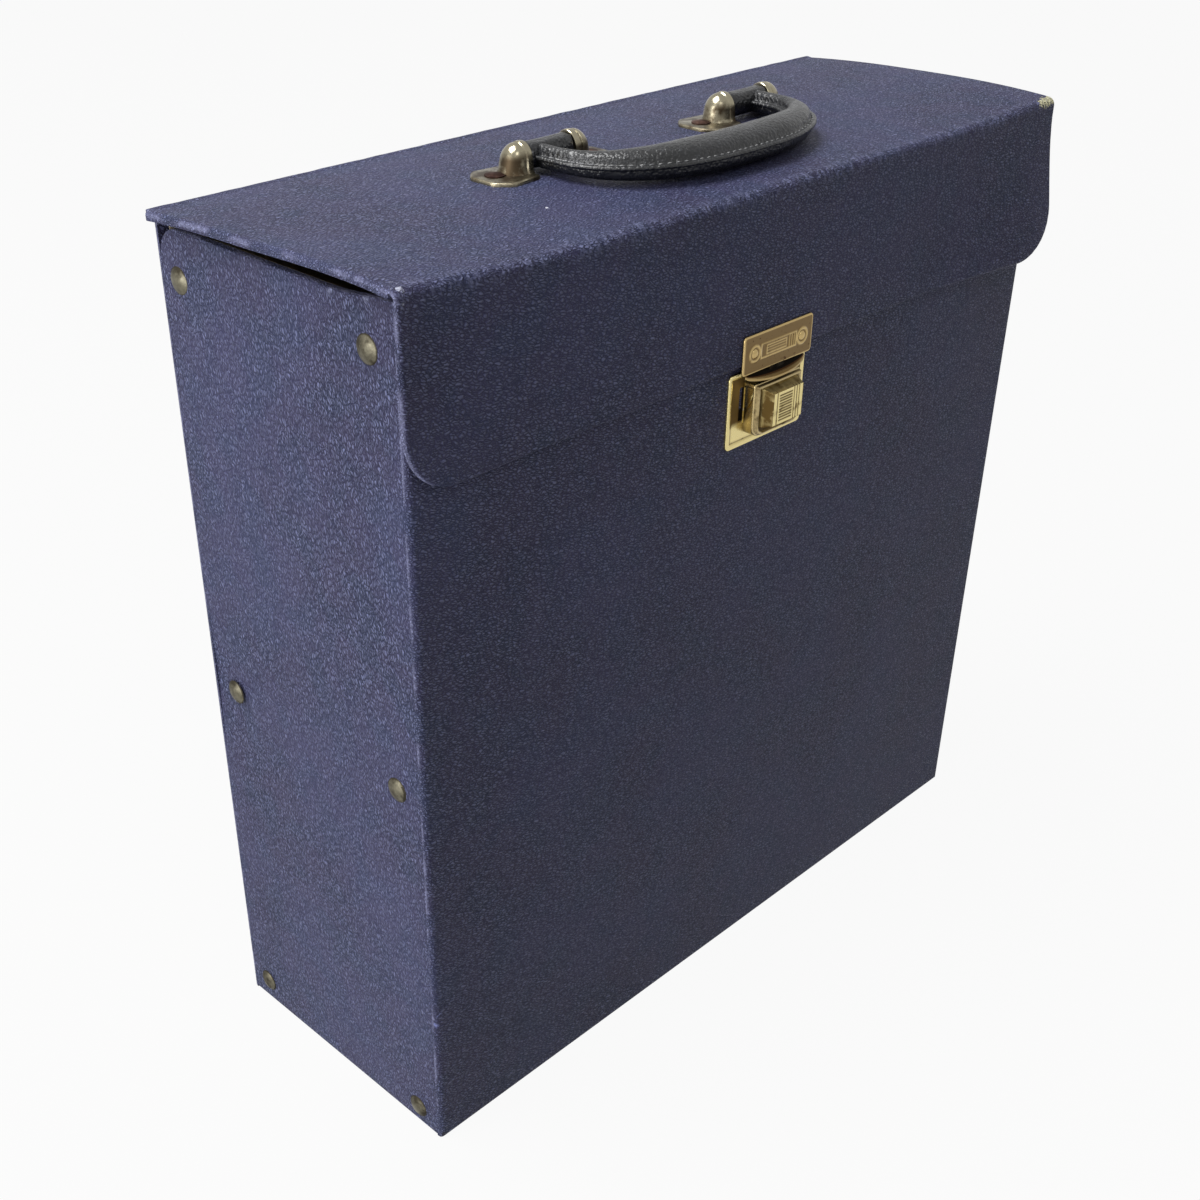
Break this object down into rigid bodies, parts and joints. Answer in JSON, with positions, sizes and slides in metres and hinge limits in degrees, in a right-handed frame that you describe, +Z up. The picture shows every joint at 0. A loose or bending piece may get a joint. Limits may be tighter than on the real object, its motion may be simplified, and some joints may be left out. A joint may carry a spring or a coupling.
{
  "type": "record carrying case",
  "caption": "Upright covered-board carrying case for records, with a cloth-hinged bowed lid, a front flap with a hasp, a slide-button lock and a bow handle.",
  "frame": {"origin": "middle of the underside, on the surface the case stands on", "axes": "+X to the right seen from the front, the front with the lock faces -Y, +Z up"},
  "size_m": [0.336, 0.1278, 0.3388],
  "materials": {
    "fibreboard": "plain",
    "leathercloth": "satin, fine morocco grain",
    "paper_lining": "matt",
    "rivet_bronze": "aged satin",
    "steel": "plain",
    "bright_brass": "bright",
    "aged_brass": "aged",
    "bracket_brass": "aged, rubbed bright",
    "browned_rivet": "browned",
    "handle_leather": "satin, fine grain",
    "handle_filler": "plain"
  },
  "bodies": {
    "case": {"front_board": "fibreboard", "back_board": "fibreboard", "base_board": "fibreboard", "left_end_board": "fibreboard", "right_end_board": "fibreboard", "front_cover": "leathercloth", "back_cover": "leathercloth", "base_cover": "leathercloth", "left_end_cover": "leathercloth", "right_end_cover": "leathercloth", "left_front_flange": "fibreboard", "left_rear_flange": "fibreboard", "right_front_flange": "fibreboard", "right_rear_flange": "fibreboard", "front_lining": "paper_lining", "back_lining": "paper_lining", "base_lining": "paper_lining", "left_end_lining": "paper_lining", "right_end_lining": "paper_lining", "left_end_rivets": "rivet_bronze", "right_end_rivets": "rivet_bronze", "left_end_washers": "steel", "right_end_washers": "steel", "lock_base_plate": "bright_brass", "lock_casing": "aged_brass", "lock_rivets": "steel", "lock_backing_plate": "steel", "lock_springs": "steel"},
    "lock_button": {"lock_button": "bright_brass", "lock_slider": "steel"},
    "lid": {"lid_board": "fibreboard", "lid_cover": "leathercloth", "lid_lining": "paper_lining", "flap_fold_cloth": "leathercloth", "left_outer_bracket": "bracket_brass", "left_inner_bracket": "bracket_brass", "right_inner_bracket": "bracket_brass", "right_outer_bracket": "bracket_brass", "bracket_rivets": "browned_rivet", "bracket_washers": "steel", "left_handle_pin": "steel", "right_handle_pin": "steel"},
    "flap": {"flap_board": "fibreboard", "flap_cover": "leathercloth", "flap_lining": "paper_lining", "hasp_plate": "aged_brass", "hasp_rivets": "aged_brass"},
    "handle": {"handle_core": "steel", "upper_handle_padding": "handle_filler", "lower_handle_padding": "handle_filler", "handle_top_cover": "handle_leather", "handle_bottom_cover": "handle_leather", "left_handle_loop": "handle_leather", "right_handle_loop": "handle_leather"}
  },
  "joints": [
    {"name": "lid_hinge", "type": "hinge", "parent": "case", "child": "lid", "pos_m": [0, 0.0592, 0.3247], "axis": [-1, 0, 0], "range_deg": [0, 210]},
    {"name": "flap_fold", "type": "hinge", "parent": "lid", "child": "flap", "pos_m": [0, -0.0611, 0.3234], "axis": [-1, 0, 0], "range_deg": [0, 115], "deforming": ["flap_fold_cloth"]},
    {"name": "handle_pivot", "type": "hinge", "parent": "lid", "child": "handle", "pos_m": [0, 0, 0.3332], "axis": [-1, 0, 0], "range_deg": [0, 176]},
    {"name": "button_slide", "type": "slide", "parent": "case", "child": "lock_button", "axis": [0, 0, -1], "range_m": [0, 0.002], "stiffness_N_per_m": 600, "springref_m": -0.002, "deforming": ["lock_springs"]}
  ]
}
